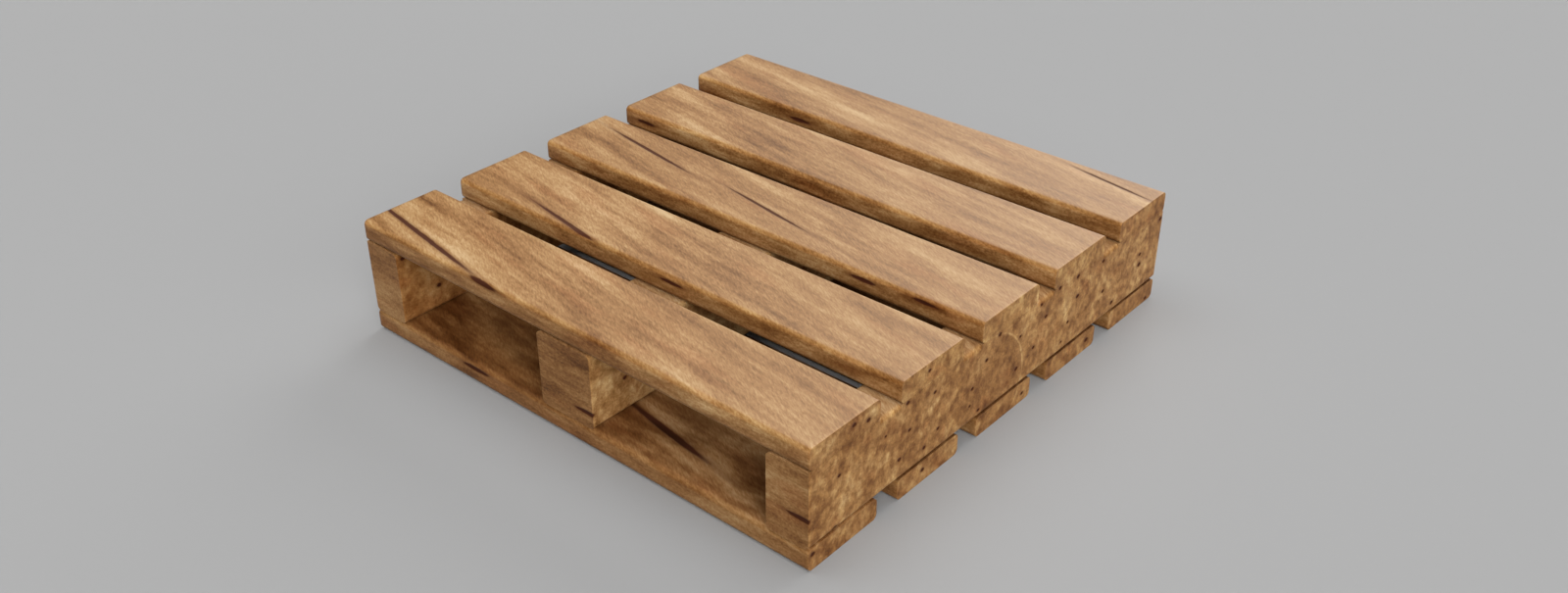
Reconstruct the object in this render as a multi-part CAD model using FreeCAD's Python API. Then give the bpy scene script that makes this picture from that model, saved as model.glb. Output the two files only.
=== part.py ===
"""Wooden pallet: five deck boards, three stringers, five bottom boards, nailed.

Frame: millimetres, +Z up.  The origin is on the floor under the middle of the
pallet.  X runs along the deck boards, Y along the stringers, and the fork
pockets run through along Y.

The deck and the base are alike: five boards each, side by side with equal
gaps, so the pallet is reversible.  The ends of all boards are flush with the
outer faces of the outer stringers, and the ends of all stringers are flush with
the outer long edges of the outer boards.  Every piece has its long edges
rounded and its ends cut square.

Each board is held at each stringer by three nails in a zigzag.  The nail heads
are punched a few millimetres under the surface and the hole above each head is
stopped level with wood filler, so no metal shows.
"""

import FreeCAD, Part
import os

from FreeCAD import Vector as V

# ---------------------------------------------------------------- dimensions
LENGTH_X = 1000.0            # along the deck boards
LENGTH_Y = 1000.0            # along the stringers

BOARD_COUNT = 5              # in the deck, and again in the base
BOARD_WIDTH = 160.0
BOARD_THICKNESS = 40.0

OUTER_STRINGER_WIDTH = 80.0
MIDDLE_STRINGER_WIDTH = 120.0
STRINGER_HEIGHT = 140.0      # so the fork pockets are 140 high

EDGE_RADIUS = 9.0            # rounding of the long edges

NAIL_LENGTH = 90.0
NAIL_SHANK_RADIUS = 1.9
NAIL_HEAD_RADIUS = 2.75
NAIL_HEAD_RIM = 0.8          # straight part of the head
NAIL_HEAD_HEIGHT = 2.4       # head down to the shank
NAIL_POINT_LENGTH = 6.0
NAIL_POINT_RADIUS = 0.25     # blunt tip
NAIL_SET = 3.0               # head below the board's surface

NAIL_ROW_Y = (-50.0, 0.0, 50.0)          # across the board's width
NAIL_ZIGZAG_OUTER = 12.0                 # either side of the stringer's middle
NAIL_ZIGZAG_MIDDLE = 24.0

# ---------------------------------------------------------------- derived
HEIGHT = 2.0 * BOARD_THICKNESS + STRINGER_HEIGHT
BOARD_PITCH = (LENGTH_Y - BOARD_WIDTH) / (BOARD_COUNT - 1)
BOARD_GAP = BOARD_PITCH - BOARD_WIDTH

X0 = -LENGTH_X / 2.0
Y0 = -LENGTH_Y / 2.0
Z_BASE_TOP = BOARD_THICKNESS
Z_DECK_BOTTOM = BOARD_THICKNESS + STRINGER_HEIGHT

BOARD_Y = [Y0 + i * BOARD_PITCH for i in range(BOARD_COUNT)]   # front edges

# name, low X, width
STRINGERS = [
    ("left_stringer", X0, OUTER_STRINGER_WIDTH),
    ("middle_stringer", -MIDDLE_STRINGER_WIDTH / 2.0, MIDDLE_STRINGER_WIDTH),
    ("right_stringer", -X0 - OUTER_STRINGER_WIDTH, OUTER_STRINGER_WIDTH),
]


def long_edges(shape, axis):
    """The edges of a box that run along an axis, 0 for X or 1 for Y."""
    found = []
    for edge in shape.Edges:
        a, b = edge.Vertexes[0].Point, edge.Vertexes[1].Point
        d = b - a
        along = (abs(d.x), abs(d.y), abs(d.z))
        if along[axis] > 0.99 * edge.Length:
            found.append(edge)
    return found


def board(y, z):
    """A board along X, square at its ends, all four long edges rounded."""
    block = Part.makeBox(LENGTH_X, BOARD_WIDTH, BOARD_THICKNESS, V(X0, y, z))
    return block.makeFillet(EDGE_RADIUS, long_edges(block, 0))


def cove(x, z, y, length, side_x):
    """What a rounding takes off a stringer's upper edge over one deck gap.

    The edge is at x, z; side_x is +1 where the wood is on the -X side.
    """
    cx = x - side_x * EDGE_RADIUS
    corner = Part.makeBox(
        EDGE_RADIUS + 1.0, length, EDGE_RADIUS + 1.0,
        V(cx if side_x > 0 else cx - EDGE_RADIUS - 1.0, y, z - EDGE_RADIUS))
    kept = Part.makeCylinder(EDGE_RADIUS, length, V(cx, y, z - EDGE_RADIUS), V(0, 1, 0))
    return corner.cut(kept)


def stringer(x, width, square_side):
    """A stringer along Y with rounded long edges.

    The outer stringers stay square on their outer upper edge where a deck
    board's end sits level with their side (square_side is +1 or -1, or 0 for
    the middle stringer).  Between the boards that edge is rounded too.
    """
    block = Part.makeBox(width, LENGTH_Y, STRINGER_HEIGHT, V(x, Y0, Z_BASE_TOP))
    edges = []
    for edge in long_edges(block, 1):
        p = edge.Vertexes[0].Point
        upper = p.z > Z_BASE_TOP + STRINGER_HEIGHT / 2.0
        outer = (p.x - (x + width / 2.0)) * square_side > 0
        if not (upper and outer):
            edges.append(edge)
    shape = block.makeFillet(EDGE_RADIUS, edges)
    if square_side:
        edge_x = x + width if square_side > 0 else x
        for y in BOARD_Y[:-1]:
            shape = shape.cut(
                cove(edge_x, Z_DECK_BOTTOM, y + BOARD_WIDTH, BOARD_GAP, square_side))
    return shape


def revolved(profile, at, up):
    """A turned piece: profile is (radius, depth), depth counted into the wood."""
    s = -1.0 if up else 1.0
    points = [V(r, 0, s * d) for r, d in profile]
    wire = Part.makePolygon(points + [points[0]])
    solid = Part.Face(wire).revolve(V(0, 0, 0), V(0, 0, 1), 360)
    solid.translate(V(*at))
    return solid


def nail(x, y, z, up):
    """One nail, its head NAIL_SET under the surface at z. up: driven from above."""
    d = NAIL_SET
    return revolved([
        (0.0, d),
        (NAIL_HEAD_RADIUS, d),
        (NAIL_HEAD_RADIUS, d + NAIL_HEAD_RIM),
        (NAIL_SHANK_RADIUS, d + NAIL_HEAD_HEIGHT),
        (NAIL_SHANK_RADIUS, d + NAIL_LENGTH - NAIL_POINT_LENGTH),
        (NAIL_POINT_RADIUS, d + NAIL_LENGTH),
        (0.0, d + NAIL_LENGTH),
    ], (x, y, z), up)


def stopping(x, y, z, up):
    """The filler over one nail head, level with the board's surface."""
    return revolved([
        (0.0, 0.0),
        (NAIL_HEAD_RADIUS, 0.0),
        (NAIL_HEAD_RADIUS, NAIL_SET),
        (0.0, NAIL_SET),
    ], (x, y, z), up)


def nail_places(board_y):
    """X and Y of the nine nails of one board, with the stringer they enter."""
    places = []
    middle = board_y + BOARD_WIDTH / 2.0
    for name, x, width in STRINGERS:
        zig = NAIL_ZIGZAG_MIDDLE if name == "middle_stringer" else NAIL_ZIGZAG_OUTER
        for i, dy in enumerate(NAIL_ROW_Y):
            dx = zig if i % 2 else -zig
            places.append((name, x + width / 2.0 + dx, middle + dy))
    return places


def build():
    parts = {}
    holes = {name: [] for name, _, _ in STRINGERS}
    for layer, z, surface, up in (
            ("top_board", Z_DECK_BOTTOM, HEIGHT, True),
            ("bottom_board", 0.0, 0.0, False)):
        for i, y in enumerate(BOARD_Y, 1):
            nails, fillers = [], []
            for name, nx, ny in nail_places(y):
                one = nail(nx, ny, surface, up)
                nails.append(one)
                fillers.append(stopping(nx, ny, surface, up))
                holes[name].append(one)
            parts[f"{layer}_{i}"] = board(y, z).cut(Part.makeCompound(nails + fillers))
            parts[f"{layer}_{i}_nails"] = Part.makeCompound(nails)
            parts[f"{layer}_{i}_filler"] = Part.makeCompound(fillers)
    for name, x, width in STRINGERS:
        side = {"left_stringer": -1, "right_stringer": 1}.get(name, 0)
        parts[name] = stringer(x, width, side).cut(Part.makeCompound(holes[name]))
    return parts


def main():
    os.makedirs("parts", exist_ok=True)
    for name, shape in build().items():
        if not shape.isValid():
            raise RuntimeError(f"{name} is not valid")
        single = not (name.endswith("_nails") or name.endswith("_filler"))
        if single and len(shape.Solids) != 1:
            raise RuntimeError(f"{name} has {len(shape.Solids)} solids")
        if single:
            shape = shape.Solids[0]
        shape.exportStep(f"parts/{name}.step")
        b = shape.BoundBox
        print(f"{name}: {len(shape.Solids)} solid(s), {shape.Volume / 1000.0:.1f} cm3, "
              f"X {b.XMin:.1f}..{b.XMax:.1f} Y {b.YMin:.1f}..{b.YMax:.1f} "
              f"Z {b.ZMin:.1f}..{b.ZMax:.1f}")


main()
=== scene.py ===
import math
import random

import bmesh
import bpy
import numpy as np
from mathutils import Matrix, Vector, noise


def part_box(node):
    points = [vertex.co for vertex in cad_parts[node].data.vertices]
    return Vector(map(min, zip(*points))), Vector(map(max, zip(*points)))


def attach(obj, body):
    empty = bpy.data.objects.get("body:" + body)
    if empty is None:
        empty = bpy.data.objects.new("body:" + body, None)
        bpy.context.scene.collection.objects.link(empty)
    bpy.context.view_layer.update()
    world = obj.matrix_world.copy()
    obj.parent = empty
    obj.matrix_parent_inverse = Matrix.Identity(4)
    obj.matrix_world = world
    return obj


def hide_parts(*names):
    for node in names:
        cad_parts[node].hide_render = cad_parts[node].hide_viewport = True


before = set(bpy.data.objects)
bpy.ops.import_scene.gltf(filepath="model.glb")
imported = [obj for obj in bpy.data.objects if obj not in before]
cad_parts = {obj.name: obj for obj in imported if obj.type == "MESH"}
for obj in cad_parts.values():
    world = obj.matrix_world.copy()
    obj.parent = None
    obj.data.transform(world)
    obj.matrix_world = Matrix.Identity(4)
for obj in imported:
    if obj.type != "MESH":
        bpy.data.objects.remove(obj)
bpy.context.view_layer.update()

# ------------------------------------------------------------------ sizes (m)
R = 0.009                      # rounding of the long edges
ARC = 8                        # segments in a rounded corner
ARRIS = 0.00035                # the sawn ends' edges, just broken
STEP = 0.0055                  # mesh pitch
BOARDS = [f"top_board_{i}" for i in range(1, 6)] + [f"bottom_board_{i}" for i in range(1, 6)]
STRINGERS = ["left_stringer", "middle_stringer", "right_stringer"]
HEAD_R, SHANK_R = 0.00275, 0.0019
NAIL_SET, NAIL_RIM, NAIL_NECK = 0.003, 0.0038, 0.0054
NAIL_POINT, NAIL_END = 0.087, 0.093
NAIL_ROWS = (-0.05, 0.0, 0.05)
HALF = 0.5                     # half the pallet's side
Z_DECK = 0.18
Z_BASE = 0.04
TOP = 0.22

# the wood's grain runs along this direction in every piece
SLOPE = -0.166
GRAIN_ANGLE = math.atan(-SLOPE)


def board_y(i):
    return -HALF + 0.21 * i


def nail_places(i):
    """Where board i's nine nails stand, and the stringer each enters."""
    out = []
    mid = board_y(i) + 0.08
    for name, x, zig in (("left_stringer", -0.46, 0.012),
                         ("middle_stringer", 0.0, 0.024),
                         ("right_stringer", 0.46, 0.012)):
        for k, dy in enumerate(NAIL_ROWS):
            out.append((name, x + (zig if k % 2 else -zig), mid + dy))
    return out


# ------------------------------------------------------------------ dark streaks
# Each is a thin spindle of dark heartwood lying along the grain: its middle, then half its
# length, half its width and half its thickness, in metres from the pallet's middle.
def spindle(x, y, z, a=0.12, b=0.0042, c=0.0030, dark=1.0):
    return (x - 0.5, y - 0.5, z, a, b, c, dark)


STREAKS = [
    # in the deck's upper faces
    spindle(0.1150, 0.0340, 0.2195, 0.190, 0.0050, 0.0038),
    spindle(0.2960, 0.2185, 0.2190, 0.150, 0.0045, 0.0034),
    spindle(0.1800, 0.5175, 0.2193, 0.135, 0.0045, 0.0033, 0.92),
    spindle(0.5000, 0.4840, 0.2193, 0.135, 0.0042, 0.0031, 0.78),
    spindle(0.9100, 0.9630, 0.2195, 0.130, 0.0042, 0.0030, 0.55),
    spindle(0.9850, 0.1620, 0.2180, 0.070, 0.0040, 0.0032, 0.8),
    # where they break out of the boards' front faces
    spindle(0.322, 0.0, 0.2148, 0.095, 0.0062, 0.0046),
    spindle(0.534, 0.210, 0.2065, 0.090, 0.0046, 0.0031, 1.2),
    spindle(0.765, 0.420, 0.2060, 0.090, 0.0043, 0.0036, 1.3),
    spindle(0.890, 0.420, 0.2115, 0.090, 0.0040, 0.0030, 1.3),
    spindle(0.056, 0.630, 0.2000, 0.090, 0.0044, 0.0035, 1.2),
    spindle(0.280, 0.840, 0.1985, 0.090, 0.0046, 0.0041, 1.2),
    spindle(0.270, 0.0, 0.0290, 0.090, 0.0058, 0.0042, 1.2),
    spindle(0.550, 0.0, 0.0690, 0.085, 0.0054, 0.0040, 1.2),
    spindle(0.990, 0.0, 0.0930, 0.085, 0.0052, 0.0044, 1.2),
    spindle(0.650, 0.0750, 0.0395, 0.115, 0.0072, 0.0052),
    # in the stringers' inner sides
    spindle(0.080, 0.014, 0.1680, 0.085, 0.0050, 0.0036),
    spindle(0.080, 0.080, 0.0850, 0.085, 0.0052, 0.0042),
    spindle(0.560, 0.073, 0.1040, 0.085, 0.0048, 0.0036),
]
# across the right-hand end faces and the right stringer's side: Y from the front, Z, size
END_SPOTS = [
    (0.099, 0.2067, 1.15), (0.132, 0.1967, 1.15), (0.279, 0.2053, 0.9), (0.227, 0.1747, 1.1),
    (0.297, 0.1567, 0.9), (0.175, 0.1433, 0.6), (0.067, 0.1360, 0.9), (0.235, 0.1213, 0.9),
    (0.212, 0.0793, 1.0), (0.276, 0.0647, 1.0), (0.311, 0.0813, 0.9), (0.437, 0.1433, 1.0),
    (0.401, 0.1073, 0.95), (0.397, 0.0760, 0.7), (0.423, 0.0547, 0.9), (0.471, 0.1747, 1.1),
    (0.530, 0.0787, 1.15), (0.535, 0.1393, 0.8), (0.593, 0.1720, 0.8), (0.611, 0.1413, 1.0),
    (0.579, 0.0960, 0.9), (0.649, 0.1780, 1.0), (0.707, 0.1747, 1.1), (0.712, 0.1333, 1.15),
    (0.688, 0.0933, 0.8), (0.672, 0.0607, 0.6), (0.791, 0.1673, 1.0), (0.803, 0.1013, 1.05),
    (0.842, 0.0600, 1.15), (0.929, 0.1207, 1.0), (0.931, 0.0987, 1.35), (0.992, 0.1667, 1.1),
    (0.010, 0.0287, 1.2), (0.060, 0.0447, 1.3), (0.275, 0.0227, 1.1), (0.557, 0.0160, 0.9),
    (0.763, 0.0200, 1.3), (0.977, 0.0067, 1.0),
]
for _y, _z, _k in END_SPOTS:
    STREAKS.append(spindle(0.985, _y + 0.0025, _z, 0.080, 0.0050 * _k, 0.0037 * _k, 0.95))


def streak_hits(s, lo, hi, pad=0.002):
    """Whether a streak's spindle reaches into a piece's box."""
    cx, cy, cz, a, b, c, _ = s
    n = 25
    for i in range(n):
        t = -a + 2 * a * i / (n - 1)
        x, y = cx + t * math.cos(GRAIN_ANGLE), cy - t * math.sin(GRAIN_ANGLE)
        w = math.sqrt(max(0.0, 1 - (t / a) ** 2))
        if (lo[0] - pad <= x <= hi[0] + pad and lo[1] - b * w - pad <= y <= hi[1] + b * w + pad
                and lo[2] - c * w - pad <= cz <= hi[2] + c * w + pad):
            return True
    return False


def add_hidden_streaks():
    """The same kind of streak on the left, the back and the underside."""
    rng = random.Random(41)
    made = []
    for _ in range(30):                                   # left end faces and left stringer
        y, z = rng.uniform(0.01, 0.99), rng.uniform(0.012, 0.208)
        made.append(spindle(0.01, y, z, 0.06, 0.0040 * rng.uniform(0.7, 1.25),
                            0.0030 * rng.uniform(0.7, 1.25), rng.uniform(0.75, 1.0)))
    for _ in range(7):                                    # back faces
        x, z = rng.uniform(0.05, 0.95), rng.choice((0.018, 0.2, 0.07, 0.12, 0.15))
        made.append(spindle(x, 1.0, z, 0.085, 0.0048, 0.0032, rng.uniform(0.8, 1.0)))
    for _ in range(9):                                    # underside
        i = rng.randrange(5)
        x, y = rng.uniform(0.1, 0.9), 0.21 * i + rng.uniform(0.02, 0.14)
        made.append(spindle(x, y, 0.0006, rng.uniform(0.1, 0.14), 0.0036, 0.0028, rng.uniform(0.75, 1.0)))
    for i in range(5):                                    # back long faces of the boards
        for z in (0.02, 0.2):
            if rng.random() < 0.7:
                made.append(spindle(rng.uniform(0.1, 0.85), 0.21 * i + 0.16, z + rng.uniform(-0.006, 0.006),
                                    0.085, 0.0046, 0.0030, rng.uniform(0.8, 1.0)))
    # none of these may break out through the deck
    kept = []
    for s in made:
        if s[2] + s[5] > TOP - 0.001:
            continue
        kept.append(s)
    return kept


STREAKS += add_hidden_streaks()


def streak_depth(p, streaks):
    """How far inside the nearest streak a point is: 0 outside, 1 at its heart."""
    best = 0.0
    ca, sa = math.cos(GRAIN_ANGLE), math.sin(GRAIN_ANGLE)
    for cx, cy, cz, a, b, c, dark in streaks:
        dx, dy, dz = p[0] - cx, p[1] - cy, p[2] - cz
        u = dx * ca - dy * sa
        v = dx * sa + dy * ca
        d = math.sqrt((u / a) ** 2 + (v / b) ** 2 + (dz / c) ** 2)
        if d < 1.0:
            best = max(best, (1 - d) * dark)
    return best


# ------------------------------------------------------------------ timber meshes
def lines(lo, hi, needed, pitch):
    """Grid lines from lo to hi that pass through the needed ones, about a pitch apart."""
    fixed = sorted({round(v, 7) for v in [lo, hi, *needed] if lo - 1e-9 <= v <= hi + 1e-9})
    out = [fixed[0]]
    for a, b in zip(fixed, fixed[1:]):
        n = max(1, round((b - a) / pitch))
        out += [a + (b - a) * k / n for k in range(1, n + 1)]
    return out


class Timber:
    """A length of timber with rounded long edges, square ends and real nail holes.

    u runs along it, v across and w up.  The surface is one closed mesh of quads with
    rings of faces round each hole.
    """

    def __init__(self, name, lo, hi, axis, holes, square_corner=0, coves=()):
        self.name, self.axis = name, axis
        self.lo, self.hi = lo, hi
        if axis == 0:
            self.u0, self.u1, self.v0, self.v1 = lo[0], hi[0], lo[1], hi[1]
        else:
            self.u0, self.u1, self.v0, self.v1 = lo[1], hi[1], -hi[0], -lo[0]
        self.w0, self.w1 = lo[2], hi[2]
        # holes: (x, y, side, profile), side +1 opens at w1, -1 at w0
        self.holes = [(*self.uv(x, y), side, prof) for x, y, side, prof in holes]
        self.square_corner, self.coves = square_corner, coves
        self.verts, self.faces, self.index = [], [], {}

    def uv(self, x, y):
        return (x, y) if self.axis == 0 else (y, -x)

    def xyz(self, u, v, w):
        return (u, v, w) if self.axis == 0 else (-v, u, w)

    def vert(self, u, v, w):
        key = (round(u, 6), round(v, 6), round(w, 6))
        got = self.index.get(key)
        if got is None:
            got = self.index[key] = len(self.verts)
            self.verts.append(self.xyz(u, v, w))
        return got

    def face(self, *ids):
        clean = [a for a, b in zip(ids, ids[1:] + ids[:1]) if a != b]
        if len(set(clean)) == len(clean) and len(clean) >= 3:
            self.faces.append(clean)

    def section(self, vs, ws, rounded, inset=0.0):
        """The outline, counter-clockwise seen from +u with v right and w up."""
        v0, v1, w0, w1 = self.v0 + inset, self.v1 - inset, self.w0 + inset, self.w1 - inset
        r = R - inset
        pts = []

        def arc(cv, cw, start, is_round, sv, sw):
            for k in range(1, ARC):
                t = k / ARC
                if is_round:
                    a = start + t * math.pi / 2
                    pts.append((cv + r * math.cos(a), cw + r * math.sin(a)))
                else:                      # the same points laid along a square corner
                    a = start + t * math.pi / 2
                    c, s = math.cos(a), math.sin(a)
                    m = max(abs(c), abs(s))
                    pts.append((cv + r * c / m, cw + r * s / m))

        inner_v = list(vs)
        inner_w = list(ws)
        lift = lambda v: min(max(v, v0 + r), v1 - r)
        lifw = lambda w: min(max(w, w0 + r), w1 - r)
        # bottom, -w side, v rising
        pts += [(lift(v), w0) for v in inner_v]
        arc(v1 - r, w0 + r, -math.pi / 2, rounded[0], 1, -1)
        pts += [(v1, lifw(w)) for w in inner_w]
        arc(v1 - r, w1 - r, 0.0, rounded[1], 1, 1)
        pts += [(lift(v), w1) for v in reversed(inner_v)]
        arc(v0 + r, w1 - r, math.pi / 2, rounded[2], -1, 1)
        pts += [(v0, lifw(w)) for w in reversed(inner_w)]
        arc(v0 + r, w0 + r, math.pi, rounded[3], -1, -1)
        return pts

    def build(self):
        hole_u = [h[0] + d for h in self.holes for d in (-0.005, 0.0, 0.005)]
        hole_v = [h[1] + d for h in self.holes for d in (-0.005, 0.0, 0.005)]
        cove_u = [c for pair in self.coves for c in pair]
        us = lines(self.u0 + ARRIS, self.u1 - ARRIS, hole_u + cove_u, STEP)
        vs = lines(self.v0 + R, self.v1 - R, hole_v, 0.005)
        ws = lines(self.w0 + R, self.w1 - R, [], 0.0048)
        stations = []                                    # (u, rounded flags, inset)
        full = (True, True, True, True)

        def flags(u):
            if not self.square_corner:
                return full
            inside = any(a <= u <= b for a, b in self.coves)
            out = [True] * 4
            out[1 if self.square_corner > 0 else 2] = inside
            return tuple(out)

        edge_flags = flags(self.u0 + 1e-4)
        stations.append((self.u0, edge_flags, ARRIS))
        for a, b in zip(us, us[1:]):
            stations.append((a, flags((a + b) / 2), 0.0))
            stations.append((b, flags((a + b) / 2), 0.0))
        stations.append((self.u1, flags(self.u1 - 1e-4), ARRIS))
        merged = [stations[0]]
        for s in stations[1:]:
            if s != merged[-1]:
                merged.append(s)
        stations = merged

        through = [(hu, hv, -side, prof) for hu, hv, side, prof in self.holes if prof[-1][1] >= self.w1 - self.w0 - 1e-6]
        openings = [(hu, hv, side) for hu, hv, side, _ in self.holes] + [(hu, hv, side) for hu, hv, side, _ in through]

        def is_open(u_mid, v_mid, side):
            return any(side == s and abs(u_mid - hu) < 0.0049 and abs(v_mid - hv) < 0.0049 for hu, hv, s in openings)

        rings = []
        for u, rounded, inset in stations:
            pts = self.section(vs, ws, rounded, inset)
            rings.append((u, pts, [self.vert(u, v, w) for v, w in pts]))
        n = len(rings[0][1])
        nv = len(vs)
        for (ua, pa, ia), (ub, pb, ib) in zip(rings, rings[1:]):
            for k in range(n):
                j = (k + 1) % n
                v_mid = (pa[k][0] + pa[j][0]) / 2
                u_mid = (ua + ub) / 2
                if ub - ua > 1e-6:
                    if k < nv - 1 and is_open(u_mid, v_mid, -1):
                        continue
                    if self.top_span(k, nv, len(ws)) and is_open(u_mid, v_mid, 1):
                        continue
                # outward for v right, w up, u towards the viewer
                self.face(ia[k], ia[j], ib[j], ib[k])
        self.caps(rings[0], rings[-1], vs, ws)
        self.drill(openings)
        return self

    def top_span(self, k, nv, nw):
        start = nv + (ARC - 1) + nw + (ARC - 1)
        return start <= k < start + nv - 1

    def caps(self, first, last, vs, ws):
        nv, nw = len(vs), len(ws)
        for (u, pts, ids), flip in ((first, True), (last, False)):
            inset = ARRIS
            iv = [min(max(v, self.v0 + R), self.v1 - R) for v in vs]
            iw = [min(max(w, self.w0 + R), self.w1 - R) for w in ws]
            grid = [[self.vert(u, v, w) for w in iw] for v in iv]

            def quad(a, b, c, d):
                if flip:
                    self.face(a, d, c, b)
                else:
                    self.face(a, b, c, d)

            for i in range(nv - 1):
                for j in range(nw - 1):
                    quad(grid[i][j], grid[i + 1][j], grid[i + 1][j + 1], grid[i][j + 1])
            o = 0
            bottom = ids[o:o + nv]; o += nv
            arc1 = ids[o:o + ARC - 1]; o += ARC - 1
            right = ids[o:o + nw]; o += nw
            arc2 = ids[o:o + ARC - 1]; o += ARC - 1
            top = ids[o:o + nv][::-1]; o += nv
            arc3 = ids[o:o + ARC - 1]; o += ARC - 1
            left = ids[o:o + nw][::-1]; o += nw
            arc4 = ids[o:o + ARC - 1]
            for i in range(nv - 1):
                quad(bottom[i], bottom[i + 1], grid[i + 1][0], grid[i][0])
                quad(grid[i][nw - 1], grid[i + 1][nw - 1], top[i + 1], top[i])
            for j in range(nw - 1):
                quad(grid[nv - 1][j], right[j], right[j + 1], grid[nv - 1][j + 1])
                quad(left[j], grid[0][j], grid[0][j + 1], left[j + 1])

            def fan(centre, chain):
                for a, b in zip(chain, chain[1:]):
                    if flip:
                        self.face(centre, b, a)
                    else:
                        self.face(centre, a, b)

            fan(grid[nv - 1][0], [bottom[-1], *arc1, right[0]])
            fan(grid[nv - 1][nw - 1], [right[-1], *arc2, top[-1]])
            fan(grid[0][nw - 1], [top[0], *arc3, left[-1]])
            fan(grid[0][0], [left[0], *arc4, bottom[0]])

    def drill(self, openings):
        seg = 16
        for hu, hv, side, prof in self.holes:
            w_open = self.w1 if side > 0 else self.w0
            w_far = self.w0 if side > 0 else self.w1
            depth = self.w1 - self.w0
            is_through = prof[-1][1] >= depth - 1e-6
            circles = []
            for r, d in prof:
                w = w_open - side * d
                circles.append([self.vert(hu + r * math.cos(2 * math.pi * k / seg),
                                          hv + r * math.sin(2 * math.pi * k / seg), w) for k in range(seg)])

            def patch(circle, w, up):
                square = [(1, 0), (1, 1), (0, 1), (-1, 1), (-1, 0), (-1, -1), (0, -1), (1, -1)]
                sq = [self.vert(hu + 0.005 * a, hv + 0.005 * b, w) for a, b in square]
                for k in range(8):
                    a, b = sq[k], sq[(k + 1) % 8]
                    c0, c1, c2 = circle[2 * k], circle[2 * k + 1], circle[(2 * k + 2) % seg]
                    tris = [(a, b, c1), (a, c1, c0), (b, c2, c1)]
                    for t in tris:
                        # u to the right and v up is the upper face seen from above
                        self.face(*(t if up else t[::-1]))

            patch(circles[0], w_open, side > 0)
            if is_through:
                patch(circles[-1], w_far, side < 0)
            for ca, cb in zip(circles, circles[1:]):
                for k in range(seg):
                    j = (k + 1) % seg
                    f = (ca[k], ca[j], cb[j], cb[k])
                    self.face(*(f if side > 0 else f[::-1]))
            if not is_through:
                f = circles[-1]
                self.faces.append(list(f) if side > 0 else list(f[::-1]))


def hash_noise(p, scale, seed):
    q = Vector((p[0] * scale[0] + seed * 3.17, p[1] * scale[1] - seed * 1.73, p[2] * scale[2] + seed * 0.91))
    return noise.noise(q)


def make_timber(node, axis, holes, square_corner=0, coves=(), seed=0):
    lo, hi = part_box(node)
    lo = tuple(round(c, 5) for c in lo)
    hi = tuple(round(c, 5) for c in hi)
    t = Timber(node, lo, hi, axis, holes, square_corner, coves).build()
    mesh = bpy.data.meshes.new(node + "_wood")
    mesh.from_pydata(t.verts, [], t.faces)
    mesh.validate()
    bm = bmesh.new()
    bm.from_mesh(mesh)
    bmesh.ops.recalc_face_normals(bm, faces=bm.faces)
    near = [s for s in STREAKS if streak_hits(s, lo, hi)]

    # finer faces where a dark streak meets the surface, for its shallow open check
    if near:
        for _ in range(2):
            faces = []
            for f in bm.faces:
                c = f.calc_center_median()
                size = math.sqrt(f.calc_area())
                if size < 0.0012:
                    continue
                if any(streak_near(c, s, size) for s in near):
                    faces.append(f)
            edges = list({e for f in faces for e in f.edges if e.calc_length() > 0.0018})
            if edges:
                bmesh.ops.subdivide_edges(bm, edges=edges, cuts=1, use_grid_fill=True)
    bm.normal_update()
    centre_keep = [(h[0], h[1]) for h in holes]
    moves = []
    for v in bm.verts:
        p = v.co
        inner = (lo[0] + 0.0005 < p.x < hi[0] - 0.0005 and lo[1] + 0.0005 < p.y < hi[1] - 0.0005
                 and lo[2] + 0.0005 < p.z < hi[2] - 0.0005)
        flat_keep = min((math.hypot(p.x - a, p.y - b) for a, b in centre_keep), default=1.0)
        if flat_keep < 0.0062:
            moves.append(0.0)
            continue
        ease = min(1.0, (flat_keep - 0.0062) / 0.01)
        # planed faces: long shallow waves along the timber, a little more on the rounded edges
        if axis == 0:
            wave = hash_noise(p, (9.0, 60.0, 60.0), seed)
        else:
            wave = hash_noise(p, (60.0, 9.0, 60.0), seed)
        fine = hash_noise(p, (160.0, 160.0, 160.0), seed + 5)
        n = v.normal
        along = abs(n.x) if axis == 0 else abs(n.y)
        flatness = max(abs(n.x), abs(n.y), abs(n.z))
        edge = 1.0 if flatness < 0.97 and along < 0.5 else 0.0
        depth = (0.00007 + 0.00007 * wave + 0.00003 * fine) * (1.0 + 1.6 * edge)
        check = streak_depth(p, near)
        if check > 0:
            depth += 0.0007 * min(1.0, check * 1.8)
        moves.append(depth * ease)
    for v, d in zip(bm.verts, moves):
        if d > 0:
            v.co -= v.normal * d
    for f in bm.faces:
        f.smooth = True
    bm.to_mesh(mesh)
    bm.free()
    obj = bpy.data.objects.new(node + "_wood", mesh)
    bpy.context.scene.collection.objects.link(obj)
    mesh.set_sharp_from_angle(angle=math.radians(40))
    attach(obj, "root")
    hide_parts(node)
    return obj, near


def streak_near(c, s, size):
    cx, cy, cz, a, b, cc, _ = s
    ca, sa = math.cos(GRAIN_ANGLE), math.sin(GRAIN_ANGLE)
    dx, dy, dz = c[0] - cx, c[1] - cy, c[2] - cz
    u = dx * ca - dy * sa
    v = dx * sa + dy * ca
    return abs(u) < a + size and abs(v) < b + size * 0.8 and abs(dz) < cc + size * 0.8


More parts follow.
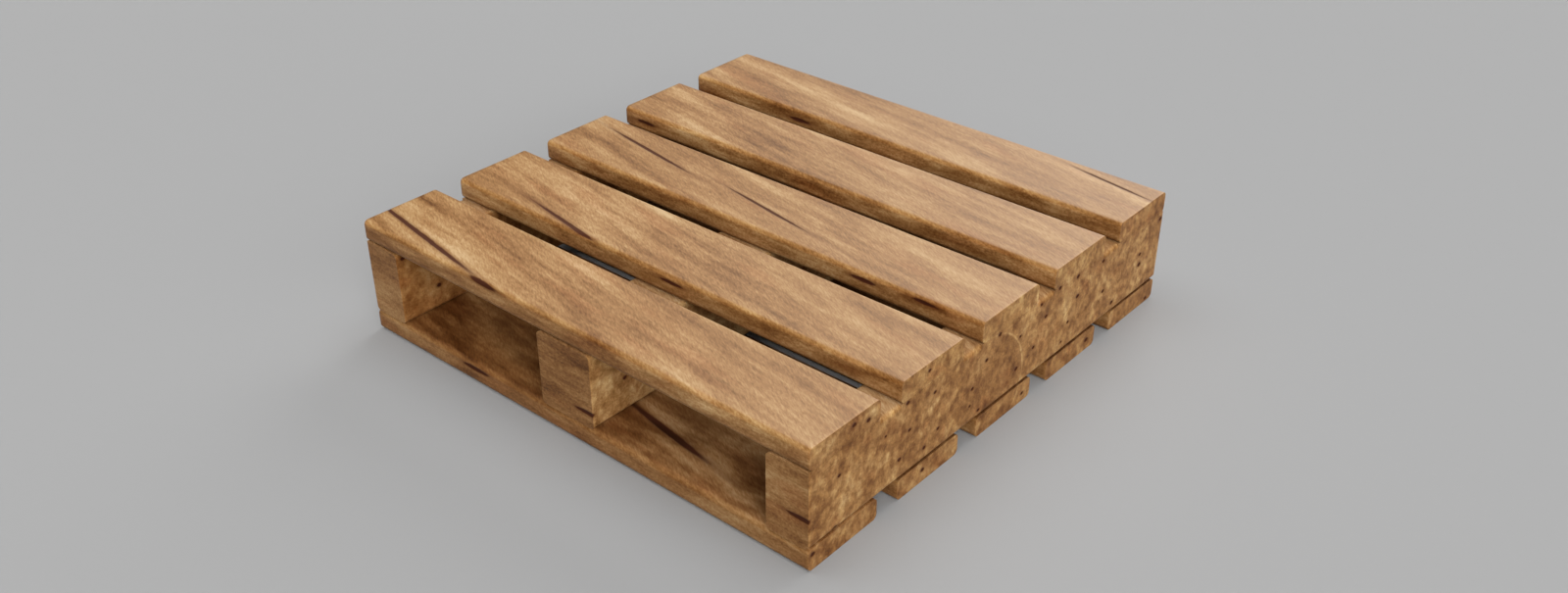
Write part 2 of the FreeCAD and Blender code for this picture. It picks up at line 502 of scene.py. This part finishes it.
# ------------------------------------------------------------------ wood material
class Nodes:
    def __init__(self, tree):
        self.t = tree
        self.x = 0

    def new(self, kind, **props):
        n = self.t.nodes.new(kind)
        self.x += 30
        n.location = (self.x, 0)
        for k, v in props.items():
            setattr(n, k, v)
        return n

    def link(self, a, b):
        self.t.links.new(a, b)

    def put(self, socket, value):
        if isinstance(value, bpy.types.NodeSocket):
            self.link(value, socket)
        else:
            socket.default_value = value

    def math(self, op, a, b=None, c=None, clamp=False):
        n = self.new("ShaderNodeMath", operation=op, use_clamp=clamp)
        self.put(n.inputs[0], a)
        if b is not None:
            self.put(n.inputs[1], b)
        if c is not None:
            self.put(n.inputs[2], c)
        return n.outputs[0]

    def vmath(self, op, a, b=None):
        n = self.new("ShaderNodeVectorMath", operation=op)
        self.put(n.inputs[0], a)
        if b is not None:
            self.put(n.inputs[1], b)
        return n.outputs["Value"] if op in ("LENGTH", "DOT_PRODUCT") else n.outputs["Vector"]

    def noise(self, vec, scale=1.0, detail=2.0, rough=0.5, distortion=0.0, colour=False):
        n = self.new("ShaderNodeTexNoise")
        self.put(n.inputs["Vector"], vec)
        n.inputs["Scale"].default_value = scale
        n.inputs["Detail"].default_value = detail
        n.inputs["Roughness"].default_value = rough
        n.inputs["Distortion"].default_value = distortion
        return n.outputs["Color" if colour else "Fac"]

    def ramp(self, fac, stops, mode="LINEAR"):
        n = self.new("ShaderNodeValToRGB")
        n.color_ramp.interpolation = mode
        els = n.color_ramp.elements
        while len(els) < len(stops):
            els.new(0.5)
        for e, (pos, col) in zip(els, stops):
            e.position = pos
            e.color = col
        self.put(n.inputs["Fac"], fac)
        return n.outputs["Color"]

    def remap(self, v, a, b, c=0.0, d=1.0, smooth=False):
        n = self.new("ShaderNodeMapRange")
        n.interpolation_type = "SMOOTHSTEP" if smooth else "LINEAR"
        n.clamp = True
        self.put(n.inputs["Value"], v)
        n.inputs["From Min"].default_value = a
        n.inputs["From Max"].default_value = b
        n.inputs["To Min"].default_value = c
        n.inputs["To Max"].default_value = d
        return n.outputs["Result"]

    def mix(self, fac, a, b, mode="MIX"):
        n = self.new("ShaderNodeMix", data_type="RGBA", blend_type=mode)
        n.clamp_factor = True
        self.put(n.inputs["Factor"], fac)
        self.put(n.inputs[6], a)
        self.put(n.inputs[7], b)
        return n.outputs[2]


# how much each layer of the figure shows
BROAD, BANDS, THIN, FIBRE = 1.18, 0.98, 0.52, 0.95


def wood_group():
    """Solid wood: colour, roughness and fine relief from a point in the pallet."""
    g = bpy.data.node_groups.new("solid_wood", "ShaderNodeTree")
    g.interface.new_socket("Point", in_out="INPUT", socket_type="NodeSocketVector")
    g.interface.new_socket("Color", in_out="OUTPUT", socket_type="NodeSocketColor")
    g.interface.new_socket("Roughness", in_out="OUTPUT", socket_type="NodeSocketFloat")
    g.interface.new_socket("Relief", in_out="OUTPUT", socket_type="NodeSocketFloat")
    g.interface.new_socket("Grain", in_out="OUTPUT", socket_type="NodeSocketVector")
    g.interface.new_socket("Ends", in_out="OUTPUT", socket_type="NodeSocketFloat")
    n = Nodes(g)
    gi = n.new("NodeGroupInput")
    go = n.new("NodeGroupOutput")
    p = gi.outputs["Point"]

    turn = n.new("ShaderNodeVectorRotate", rotation_type="Z_AXIS")
    n.put(turn.inputs["Vector"], p)
    turn.inputs["Angle"].default_value = GRAIN_ANGLE
    q = turn.outputs["Vector"]                      # x along the grain
    n.link(q, go.inputs["Grain"])

    # slow wander of the grain
    wob = n.noise(n.vmath("MULTIPLY", q, (5.0, 9.0, 9.0)), 1.0, 2.0, 0.5, colour=True)
    wob = n.vmath("SUBTRACT", wob, (0.5, 0.5, 0.5))
    wob = n.vmath("MULTIPLY", wob, (0.0, 0.016, 0.016))
    q = n.vmath("ADD", q, wob)

    # broad drifts of colour, wide bands, narrow bands
    broad = n.noise(n.vmath("MULTIPLY", q, (2.4, 17.0, 18.0)), 1.0, 2.0, 0.55)
    bands = n.noise(n.vmath("MULTIPLY", q, (7.0, 52.0, 56.0)), 1.0, 2.5, 0.6)
    thin = n.noise(n.vmath("MULTIPLY", q, (26.0, 170.0, 170.0)), 1.0, 2.5, 0.6)
    patch = n.noise(n.vmath("MULTIPLY", n.vmath("ADD", q, (3.1, 7.7, 1.3)), (4.0, 26.0, 26.0)), 1.0, 2.0, 0.5)
    ruddy = n.noise(n.vmath("MULTIPLY", n.vmath("ADD", q, (9.2, 2.1, 5.5)), (5.0, 30.0, 30.0)), 1.0, 2.0, 0.5)

    # short fibres that lie at a steeper angle than the grain
    steep = n.new("ShaderNodeVectorRotate", rotation_type="Z_AXIS")
    n.put(steep.inputs["Vector"], p)
    steep.inputs["Angle"].default_value = math.radians(31)
    fibre = n.noise(n.vmath("MULTIPLY", steep.outputs["Vector"], (75.0, 330.0, 300.0)), 1.0, 2.0, 0.65)

    # growth rings about the heart: faint, but for one pale ring near the right-hand end
    sep = n.new("ShaderNodeSeparateXYZ")
    n.put(sep.inputs[0], n.vmath("SUBTRACT", q, (0.0, HEART[0], HEART[1])))
    ring_r = n.math("SQRT", n.math("ADD", n.math("MULTIPLY", sep.outputs[1], sep.outputs[1]),
                                   n.math("MULTIPLY", sep.outputs[2], sep.outputs[2])))
    rings = n.math("SINE", n.math("MULTIPLY", ring_r, 2 * math.pi / 0.021))
    near_end = n.remap(sep.outputs[0], 0.34, 0.48, smooth=True)

    def band(radius, half):
        off = n.math("ABSOLUTE", n.math("SUBTRACT", ring_r, radius))
        return n.math("SUBTRACT", 1.0, n.remap(off, 0.0, half, smooth=True))

    one_side = n.remap(sep.outputs[1], 0.0, 0.05, 0.35, 1.0, smooth=True)
    other_side = n.remap(sep.outputs[1], -0.09, -0.02, 1.0, 0.0, smooth=True)
    pale = n.math("MULTIPLY", n.math("MULTIPLY", band(0.1056, 0.0032), 0.30), one_side)
    dusky = n.math("MULTIPLY", n.math("MULTIPLY", band(0.1380, 0.0080), 0.16), other_side)
    inner = n.math("MULTIPLY", n.remap(ring_r, 0.096, 0.105, 1.0, 0.0, smooth=True), 0.06)
    ring_mark = n.math("MULTIPLY", near_end, n.math("SUBTRACT", n.math("SUBTRACT", pale, dusky), inner))

    # sawn ends show the fibres end-on, as fine even pores
    geo = n.new("ShaderNodeNewGeometry")
    nrm = n.new("ShaderNodeSeparateXYZ")
    n.link(geo.outputs["Normal"], nrm.inputs[0])
    ends = n.remap(n.math("ABSOLUTE", nrm.outputs[0]), 0.45, 0.8, smooth=True)
    n.link(ends, go.inputs["Ends"])
    fibre = n.math("MULTIPLY", n.math("SUBTRACT", fibre, 0.5), n.math("MULTIPLY_ADD", ends, -0.35, 1.0))
    thin = n.math("MULTIPLY", n.math("SUBTRACT", thin, 0.5), n.math("MULTIPLY_ADD", ends, -0.5, 1.0))

    t = n.math("MULTIPLY_ADD", broad, BROAD, -BROAD / 2)
    t = n.math("ADD", t, n.math("MULTIPLY_ADD", bands, BANDS, -BANDS / 2))
    t = n.math("ADD", t, n.math("MULTIPLY", thin, THIN))
    t = n.math("ADD", t, n.math("MULTIPLY", fibre, FIBRE))
    t = n.math("ADD", t, n.math("MULTIPLY", rings, 0.02))
    t = n.math("ADD", t, ring_mark)
    t = n.math("ADD", t, 0.5, clamp=True)
    colour = n.ramp(t, [
        (0.02, (0.097, 0.037, 0.010, 1)),
        (0.28, (0.198, 0.091, 0.030, 1)),
        (0.50, (0.287, 0.148, 0.056, 1)),
        (0.72, (0.376, 0.223, 0.096, 1)),
        (0.98, (0.480, 0.325, 0.168, 1)),
    ])
    # cream and russet drifts along the grain
    cream = n.remap(patch, 0.54, 0.72, 0.0, 0.5, smooth=True)
    colour = n.mix(cream, colour, n.mix(1.0, colour, (1.16, 1.26, 1.36, 1), "MULTIPLY"))
    russet = n.remap(ruddy, 0.54, 0.74, 0.0, 0.7, smooth=True)
    colour = n.mix(russet, colour, n.mix(1.0, colour, (0.94, 0.80, 0.74, 1), "MULTIPLY"))
    n.link(colour, go.inputs["Color"])

    rough = n.math("MULTIPLY_ADD", bands, 0.16, 0.42)
    rough = n.math("ADD", rough, n.math("MULTIPLY", fibre, 0.10))
    n.link(rough, go.inputs["Roughness"])
    relief = n.math("ADD", n.math("MULTIPLY", thin, 0.5), n.math("MULTIPLY", fibre, 0.5))
    n.link(relief, go.inputs["Relief"])
    return g


_ca, _sa = math.cos(GRAIN_ANGLE), math.sin(GRAIN_ANGLE)
# the tree's heart, across the grain: it meets the right-hand side 441 mm from the front, 74 mm up
_hx, _hy = 0.5, 0.441 - 0.5
HEART = (_hx * _sa + _hy * _ca, 0.074)


def weathering_and_painted_light(n, name, colour, point, nrm, marks):
    """Tints by face and piece. The deck is paler toward the back right, part bleached by daylight, part a painted
    sheen; sides and insides are not bleached. Most other tints are painted light and shade on the sides, ends,
    undersides and base boards.
    """
    at = n.new("ShaderNodeSeparateXYZ")
    n.link(point, at.inputs[0])
    up = n.remap(nrm.outputs[2], 0.80, 0.97, smooth=True)
    side_y = n.remap(n.math("ABSOLUTE", nrm.outputs[1]), 0.70, 0.96, smooth=True)
    side_x = n.remap(n.math("ABSOLUTE", nrm.outputs[0]), 0.70, 0.96, smooth=True)
    if name.startswith("top"):
        # part painted sheen, part bleaching: the deck's upper faces are paler toward the back right, flattened toward
        # one mid brown and with a pale grey added on top
        along = n.math("ADD", n.math("MULTIPLY", at.outputs[0], 0.55), n.math("MULTIPLY", at.outputs[1], 0.45))
        bleach_and_sheen = n.math("MULTIPLY", n.remap(along, -0.50, 0.38, 0.04, 1.0), up)
        bleach_and_sheen = n.math("MULTIPLY", bleach_and_sheen, n.math("MULTIPLY_ADD", marks, -0.75, 1.0))
        colour = n.mix(n.math("MULTIPLY", bleach_and_sheen, 0.30), colour, (0.290, 0.152, 0.060, 1))
        colour = n.mix(bleach_and_sheen, colour, n.mix(1.0, colour, (0.060, 0.063, 0.060, 1), "ADD"))
        # painted highlight and shade: the upper part of each front and back face is lighter and the foot darker,
        # following the light on the rounded edge
        lift = n.remap(at.outputs[2], 0.184, 0.213)
        tone_and_painted_light = n.mix(lift, (0.75, 0.67, 0.58, 1), (1.04, 0.97, 0.85, 1))
        # painted light: the front board's long faces are darker in the left half and lighter toward the right end
        if name == "top_board_1":
            right = n.remap(at.outputs[0], 0.0, 0.45, smooth=True)
            tone_and_painted_light = n.mix(1.0, tone_and_painted_light, n.mix(right, (0.84, 0.79, 0.74, 1), (1.06, 1.10, 1.14, 1)), "MULTIPLY")
        # random uneven tone, not light
        uneven = n.noise(n.vmath("MULTIPLY", point, (10.0, 40.0, 62.0)), 1.0, 2.0, 0.5)
        tone_and_painted_light = n.mix(1.0, tone_and_painted_light, n.mix(n.remap(uneven, 0.36, 0.64), (0.78, 0.71, 0.63, 1), (1.22, 1.28, 1.38, 1)),
                     "MULTIPLY")
        colour = n.mix(side_y, colour, n.mix(1.0, colour, tone_and_painted_light, "MULTIPLY"))
        # part the boards' own tone, part painted light and shade: one factor for each top board's sawn ends
        sawn = {"1": (0.89, 0.83, 0.72, 1), "2": (1.06, 1.06, 0.95, 1), "3": (1.04, 1.04, 0.93, 1),
                "4": (0.99, 0.97, 0.85, 1), "5": (0.89, 0.80, 0.66, 1)}[name[-1]]
        colour = n.mix(side_x, colour, n.mix(1.0, colour, sawn, "MULTIPLY"))
        # painted shade: the undersides are darkened, standing in for the shade beneath the deck
        underside_shade = n.remap(nrm.outputs[2], -0.80, -0.97, smooth=True)
        colour = n.mix(underside_shade, colour, n.mix(1.0, colour, (0.62, 0.56, 0.50, 1), "MULTIPLY"))
    elif name.startswith("bottom"):
        # painted shade: the base boards' upper faces are darkened, strongly on boards 2 to 5 seen only through the
        # gaps; the front board is darker in the left bay than the right, with random blotches
        if name.endswith("_1"):
            shade = n.mix(n.remap(at.outputs[0], -0.20, 0.12, smooth=True), (0.54, 0.44, 0.36, 1), (0.74, 0.68, 0.65, 1))
        else:
            shade = (0.30, 0.24, 0.20, 1)
        blotch = n.noise(n.vmath("MULTIPLY", point, (13.0, 34.0, 34.0)), 1.0, 2.0, 0.5)
        shade = n.mix(1.0, shade, n.mix(n.remap(blotch, 0.36, 0.62), (0.66, 0.56, 0.46, 1), (1.26, 1.26, 1.26, 1)),
                      "MULTIPLY")
        upper = n.remap(nrm.outputs[2], 0.25, 0.97, smooth=True)
        colour = n.mix(upper, colour, n.mix(1.0, colour, shade, "MULTIPLY"))
        # painted shade on the base boards' long faces and sawn ends
        colour = n.mix(side_y, colour, n.mix(1.0, colour, (0.78, 0.68, 0.58, 1), "MULTIPLY"))
        colour = n.mix(side_x, colour, n.mix(1.0, colour, (0.83, 0.74, 0.61, 1), "MULTIPLY"))
    else:
        # painted light and shade, face by face: the stringers' tops are greyed and darkened, their end faces darkened,
        # and their long sides darkened on the left and right stringers and lightened on the middle one
        colour = n.mix(up, colour, n.mix(1.0, colour, (0.86, 0.86, 0.92, 1), "MULTIPLY"))
        colour = n.mix(side_y, colour, n.mix(1.0, colour, (0.86, 0.79, 0.70, 1), "MULTIPLY"))
        tone_and_painted_light = {"left_stringer": (0.80, 0.66, 0.52, 1), "middle_stringer": (1.24, 1.30, 1.30, 1)}.get(
            name, (0.92, 0.86, 0.74, 1))
        colour = n.mix(side_x, colour, n.mix(1.0, colour, tone_and_painted_light, "MULTIPLY"))
    return colour


def wood_material(name, streaks, group):
    m = bpy.data.materials.new("wood_" + name)
    m.use_nodes = True
    m.node_tree.nodes.clear()
    n = Nodes(m.node_tree)
    out = n.new("ShaderNodeOutputMaterial")
    bsdf = n.new("ShaderNodeBsdfPrincipled")
    coord = n.new("ShaderNodeTexCoord")
    wood = n.new("ShaderNodeGroup")
    wood.node_tree = group
    n.link(coord.outputs["Object"], wood.inputs["Point"])
    colour, relief = wood.outputs["Color"], wood.outputs["Relief"]

    # painted highlight: the rounded edges are tinted a little warmer, standing in for the warm light they catch
    geo = n.new("ShaderNodeNewGeometry")
    nrm = n.new("ShaderNodeSeparateXYZ")
    n.link(geo.outputs["Normal"], nrm.inputs[0])
    az = n.math("ABSOLUTE", nrm.outputs[2])
    ah = n.math("SQRT", n.math("MAXIMUM", n.math("SUBTRACT", 1.0, n.math("MULTIPLY", az, az)), 0.0))
    edge = n.remap(n.math("MINIMUM", az, ah), 0.12, 0.62, 0.0, 1.0, smooth=True)
    edge_highlight = 0.45 if name == "top_board_1" else 0.65 if name.startswith("top") else 0.3
    colour = n.mix(n.math("MULTIPLY", edge, edge_highlight), colour, n.mix(1.0, colour, (1.01, 0.92, 0.72, 1), "MULTIPLY"))

    # end grain is mottled with pale and brown patches
    mottle = n.noise(n.vmath("MULTIPLY", wood.outputs["Grain"], (9.0, 84.0, 66.0)), 1.0, 2.0, 0.5)
    pores = n.noise(n.vmath("MULTIPLY", wood.outputs["Grain"], (12.0, 250.0, 200.0)), 1.0, 2.0, 0.6)
    mottle = n.math("ADD", mottle, n.math("MULTIPLY_ADD", pores, 0.40, -0.20))
    mottle = n.math("MULTIPLY", n.math("SUBTRACT", mottle, 0.5), wood.outputs["Ends"])
    if name in ("left_stringer", "middle_stringer"):
        mottle = n.math("MULTIPLY", mottle, 0.5)
    darker = n.remap(mottle, 0.0, -0.22, 0.0, 0.85)
    paler = n.remap(mottle, 0.0, 0.22, 0.0, 0.85)
    colour = n.mix(darker, colour, n.mix(1.0, colour, (0.56, 0.44, 0.32, 1), "MULTIPLY"))
    colour = n.mix(paler, colour, n.mix(1.0, colour, (1.40, 1.50, 1.52, 1), "MULTIPLY"))

    rough = wood.outputs["Roughness"]
    heart = 0.0
    if streaks:
        ragged = n.noise(n.vmath("MULTIPLY", wood.outputs["Grain"], (60.0, 260.0, 260.0)), 1.0, 2.0, 0.6, colour=True)
        ragged = n.vmath("MULTIPLY", n.vmath("SUBTRACT", ragged, (0.5, 0.5, 0.5)), (0.0, 0.0026, 0.0022))
        q = n.vmath("ADD", wood.outputs["Grain"], ragged)
        core = None
        for cx, cy, cz, a, b, c, dark in streaks:
            u = cx * _ca - cy * _sa
            v = cx * _sa + cy * _ca
            d = n.vmath("LENGTH", n.vmath("MULTIPLY", n.vmath("SUBTRACT", q, (u, v, cz)),
                                          (1 / a, 1 / b, 1 / c)))
            d = n.math("ADD", d, (1 - dark) * 0.5)
            core = d if core is None else n.math("MINIMUM", core, d)
        halo = n.remap(core, 0.85, 2.1, 0.55, 0.0, smooth=True)
        colour = n.mix(halo, colour, (0.132, 0.047, 0.014, 1))
        heart = n.remap(core, 0.66, 1.12, 0.97, 0.0, smooth=True)
        colour = n.mix(heart, colour, (0.044, 0.0100, 0.0060, 1))
        rough = n.math("ADD", rough, n.math("MULTIPLY", heart, 0.3))
        relief = n.math("SUBTRACT", relief, n.math("MULTIPLY", heart, 0.8))
    colour = weathering_and_painted_light(n, name, colour, coord.outputs["Object"], nrm, heart)
    n.link(colour, bsdf.inputs["Base Color"])
    n.link(rough, bsdf.inputs["Roughness"])
    bump = n.new("ShaderNodeBump")
    bump.inputs["Strength"].default_value = 0.35
    bump.inputs["Distance"].default_value = 0.0006
    n.link(relief, bump.inputs["Height"])
    n.link(bump.outputs["Normal"], bsdf.inputs["Normal"])
    bsdf.inputs["Specular IOR Level"].default_value = 0.32
    bsdf.inputs["Specular Tint"].default_value = (1.0, 0.60, 0.30, 1.0)
    n.link(bsdf.outputs["BSDF"], out.inputs["Surface"])
    return m


def steel_material():
    m = bpy.data.materials.new("nail_steel")
    m.use_nodes = True
    m.node_tree.nodes.clear()
    n = Nodes(m.node_tree)
    out = n.new("ShaderNodeOutputMaterial")
    bsdf = n.new("ShaderNodeBsdfPrincipled")
    coord = n.new("ShaderNodeTexCoord")
    draw = n.noise(n.vmath("MULTIPLY", coord.outputs["Object"], (2600.0, 2600.0, 90.0)), 1.0, 3.0, 0.6)
    spots = n.noise(n.vmath("MULTIPLY", coord.outputs["Object"], (420.0, 420.0, 260.0)), 1.0, 3.0, 0.6)
    n.link(n.ramp(spots, [(0.3, (0.34, 0.33, 0.32, 1)), (0.6, (0.56, 0.56, 0.57, 1)), (0.9, (0.66, 0.66, 0.67, 1))]),
           bsdf.inputs["Base Color"])
    n.link(n.math("MULTIPLY_ADD", draw, 0.25, 0.25), bsdf.inputs["Roughness"])
    bsdf.inputs["Metallic"].default_value = 1.0
    bump = n.new("ShaderNodeBump")
    bump.inputs["Strength"].default_value = 0.2
    bump.inputs["Distance"].default_value = 0.0001
    n.link(draw, bump.inputs["Height"])
    n.link(bump.outputs["Normal"], bsdf.inputs["Normal"])
    n.link(bsdf.outputs["BSDF"], out.inputs["Surface"])
    return m


# ------------------------------------------------------------------ build
group = wood_group()
steel = steel_material()

board_profile = [(HEAD_R, 0.0), (HEAD_R, NAIL_RIM), (SHANK_R, NAIL_NECK), (SHANK_R, 0.04)]
stringer_profile = [(SHANK_R, 0.0), (SHANK_R, NAIL_POINT - 0.04), (0.00025, NAIL_END - 0.04)]

stringer_holes = {s: [] for s in STRINGERS}
for i in range(5):
    places = nail_places(i)
    for k, (layer, side) in enumerate((("top_board", 1), ("bottom_board", -1))):
        node = f"{layer}_{i + 1}"
        obj, near = make_timber(node, 0, [(x, y, side, board_profile) for _, x, y in places], seed=i + 7 * k)
        mat = wood_material(node, near, group)
        obj.data.materials.append(mat)
        for name, x, y in places:
            stringer_holes[name].append((x, y, side, stringer_profile))
        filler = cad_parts[node + "_filler"]
        filler.data.materials.clear()
        filler.data.materials.append(mat)
        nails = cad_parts[node + "_nails"]
        nails.data.materials.clear()
        nails.data.materials.append(steel)

gaps = [(board_y(i) + 0.16, board_y(i + 1)) for i in range(4)]
for name in STRINGERS:
    corner = {"left_stringer": 1, "middle_stringer": 0, "right_stringer": -1}[name]
    obj, near = make_timber(name, 1, stringer_holes[name], corner, gaps if corner else (), seed=20 + len(name))
    obj.data.materials.append(wood_material(name, near, group))

# ------------------------------------------------------------------ floor, light, camera
floor_mesh = bpy.data.meshes.new("floor")
S = 30.0
floor_mesh.from_pydata([(-S, -S, -0.0003), (S, -S, -0.0003), (S, S, -0.0003), (-S, S, -0.0003)], [], [(0, 1, 2, 3)])
floor = bpy.data.objects.new("floor", floor_mesh)
bpy.context.scene.collection.objects.link(floor)
fm = bpy.data.materials.new("floor")
fm.use_nodes = True
fb = fm.node_tree.nodes["Principled BSDF"]
fb.inputs["Base Color"].default_value = (0.297, 0.297, 0.297, 1)
fb.inputs["Roughness"].default_value = 0.9
fb.inputs["Specular IOR Level"].default_value = 0.0
floor_mesh.materials.append(fm)

world = bpy.data.worlds.new("studio")
bpy.context.scene.world = world
world.use_nodes = True
bg = world.node_tree.nodes["Background"]
bg.inputs["Color"].default_value = (1, 1, 1, 1)
bg.inputs["Strength"].default_value = 0.0


LIGHT = 1.5                    # light falling on the floor, where 1 shows a surface at its own shade


def softbox(name, elevation, azimuth, share, spread):
    """A large soft light: its share is what it adds to the floor's brightness."""
    e, a = math.radians(elevation), math.radians(azimuth)
    data = bpy.data.lights.new(name, "SUN")
    data.energy = share * LIGHT * math.pi / math.sin(e)
    data.angle = math.radians(spread)
    o = bpy.data.objects.new(name, data)
    toward = Vector((math.cos(a) * math.cos(e), math.sin(a) * math.cos(e), math.sin(e)))
    o.rotation_euler = toward.to_track_quat("Z", "Y").to_euler()
    bpy.context.scene.collection.objects.link(o)


softbox("overhead_back", 74, 100, 0.100, 40)
softbox("overhead_back_right", 74, 60, 0.137, 40)
softbox("overhead_left", 74, 180, 0.026, 40)
softbox("overhead_front_left", 74, 220, 0.074, 40)
softbox("overhead_front", 74, 300, 0.045, 40)
softbox("left_high", 58, 200, 0.100, 40)
softbox("front_right", 35, 320, 0.330, 40)
softbox("right_low", 15, 0, 0.049, 40)
softbox("front_right_low", 15, 320, 0.020, 40)
softbox("back", 25, 98, 0.130, 44)

cam_data = bpy.data.cameras.new("camera")
cam = bpy.data.objects.new("camera", cam_data)
cam.location = (1.5125, -1.7376, 1.4398)
yaw, pitch = math.radians(130.5216), math.radians(31.4185)
look = Vector((math.cos(yaw) * math.cos(pitch), math.sin(yaw) * math.cos(pitch), -math.sin(pitch)))
cam.rotation_euler = look.to_track_quat("-Z", "Y").to_euler()
cam_data.sensor_width = 36.0
cam_data.lens = 1510.4 / 1600 * 36.0
bpy.context.scene.collection.objects.link(cam)
bpy.context.scene.camera = cam
bpy.context.scene.view_settings.view_transform = "Standard"
bpy.context.scene.view_settings.look = "None"
